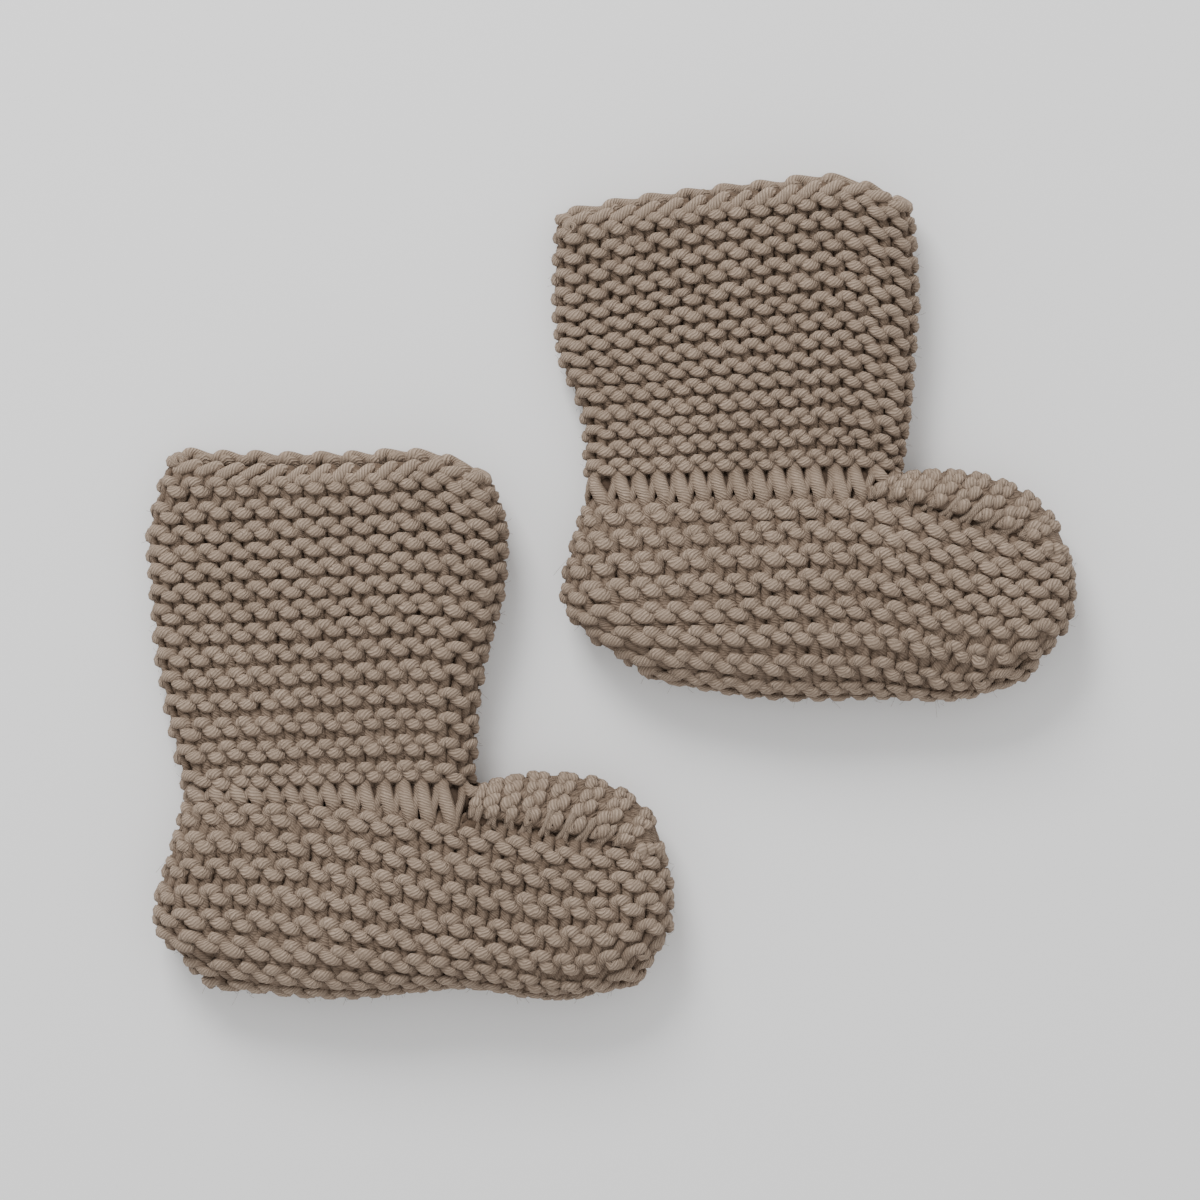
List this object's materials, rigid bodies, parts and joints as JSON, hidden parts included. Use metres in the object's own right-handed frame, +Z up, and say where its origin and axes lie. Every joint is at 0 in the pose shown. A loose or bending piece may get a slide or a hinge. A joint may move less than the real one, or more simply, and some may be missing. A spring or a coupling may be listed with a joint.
{
  "type": "pair of wool socks",
  "caption": "Pair of hand-knitted wool bootie socks in garter stitch, with a tall leg and an instep flap, lying on their sides with the toes to the right.",
  "frame": {"origin": "centre of the pair's bounding box, on the surface that they lie on", "axes": "+X towards the toes, the pair's longest extent; +Y up the legs towards the mouths; +Z up from the surface, the pair's thickness"},
  "size_m": [0.1988, 0.1745, 0.0201],
  "materials": {
    "wool": "matte, softly hairy plied wool yarn, hand-knitted in garter stitch"
  },
  "bodies": {
    "root": {"right_leg": "wool", "right_ankle_band": "wool", "right_instep": "wool", "right_foot": "wool", "left_leg": "wool", "left_ankle_band": "wool", "left_instep": "wool", "left_foot": "wool"}
  },
  "joints": []
}
